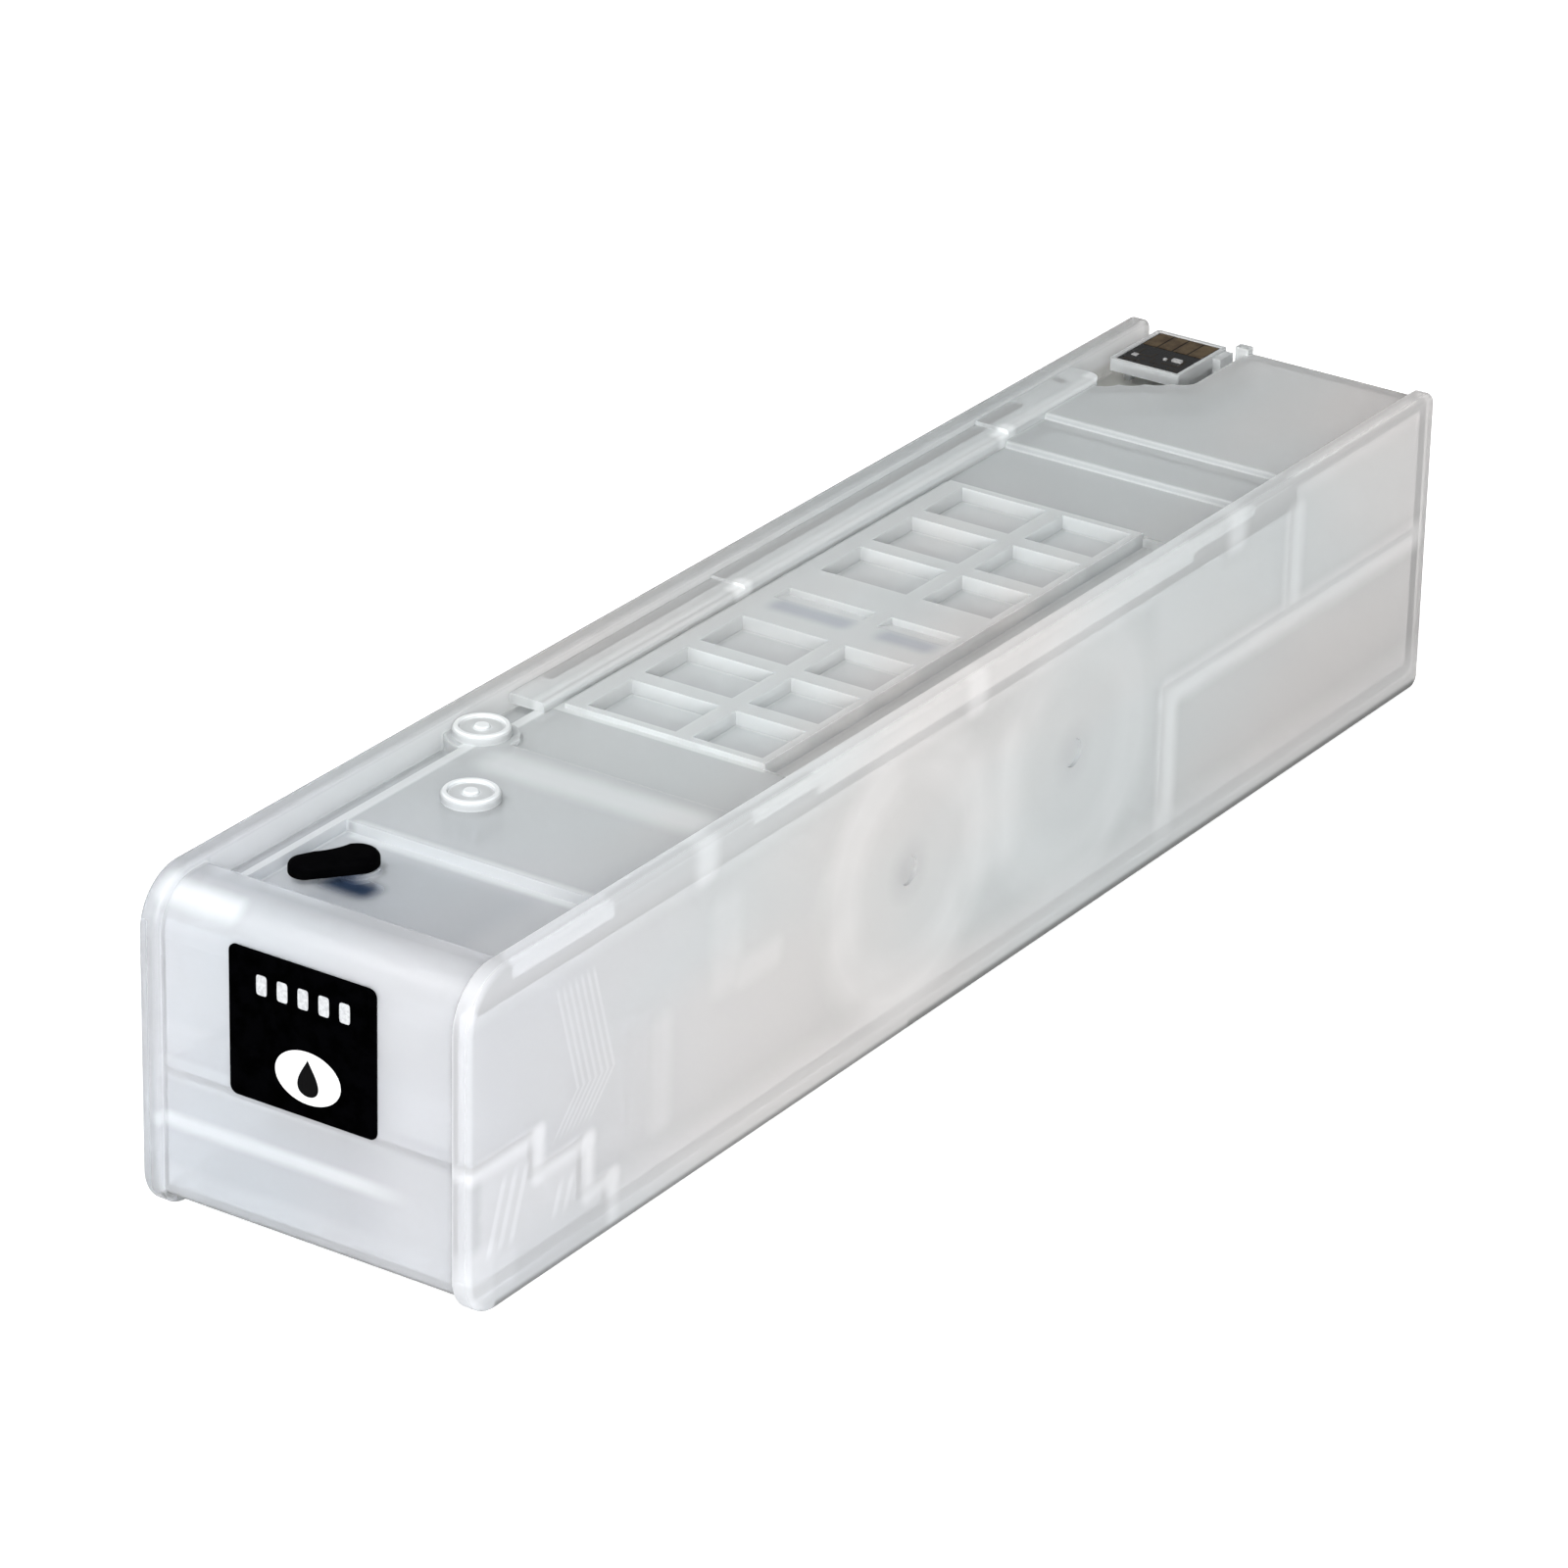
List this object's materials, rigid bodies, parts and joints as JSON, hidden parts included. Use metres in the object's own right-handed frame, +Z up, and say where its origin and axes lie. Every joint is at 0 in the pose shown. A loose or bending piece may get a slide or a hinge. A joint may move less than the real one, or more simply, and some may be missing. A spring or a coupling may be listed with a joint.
{
  "type": "inkjet ink cartridge",
  "caption": "Long refillable inkjet cartridge: a frosted box between two side plates, with a fill plug, air caps, a chip at the rear corner and an ink outlet in the rear wall.",
  "frame": {"origin": "middle of the cartridge on the surface that the two side plates stand on", "axes": "+Z up, -Y towards the labelled front face, +X towards the welded side cover"},
  "size_m": [0.0536, 0.248, 0.049],
  "materials": {
    "frosted_plastic": "frosted translucent polypropylene",
    "milky_plastic": "milky translucent polypropylene",
    "black_rubber": "smooth black silicone rubber",
    "grey_rubber": "grey elastomer",
    "clear_silicone": "clear silicone",
    "membrane": "white breathable film",
    "tray_plastic": "pale plastic",
    "board": "black solder mask",
    "gold": "gold-plated copper, a little tarnished",
    "solder": "tinned",
    "die_resin": "black sealing resin",
    "label_film": "black printed film",
    "steel_mesh": "fine woven steel"
  },
  "bodies": {
    "root": {"body": "frosted_plastic", "side_cover": "frosted_plastic", "air_channel_cover": "milky_plastic", "vent_cap": "milky_plastic", "air_valve_cap": "milky_plastic", "vent_membrane": "membrane", "air_valve_disc": "clear_silicone", "fill_plug": "black_rubber", "chip_carrier": "tray_plastic", "chip_board": "board", "chip_contacts": "gold", "chip_parts": "solder", "chip_die": "die_resin", "front_label": "label_film", "outlet_retainer": "milky_plastic", "outlet_seal": "grey_rubber", "outlet_filter": "steel_mesh"}
  },
  "joints": []
}
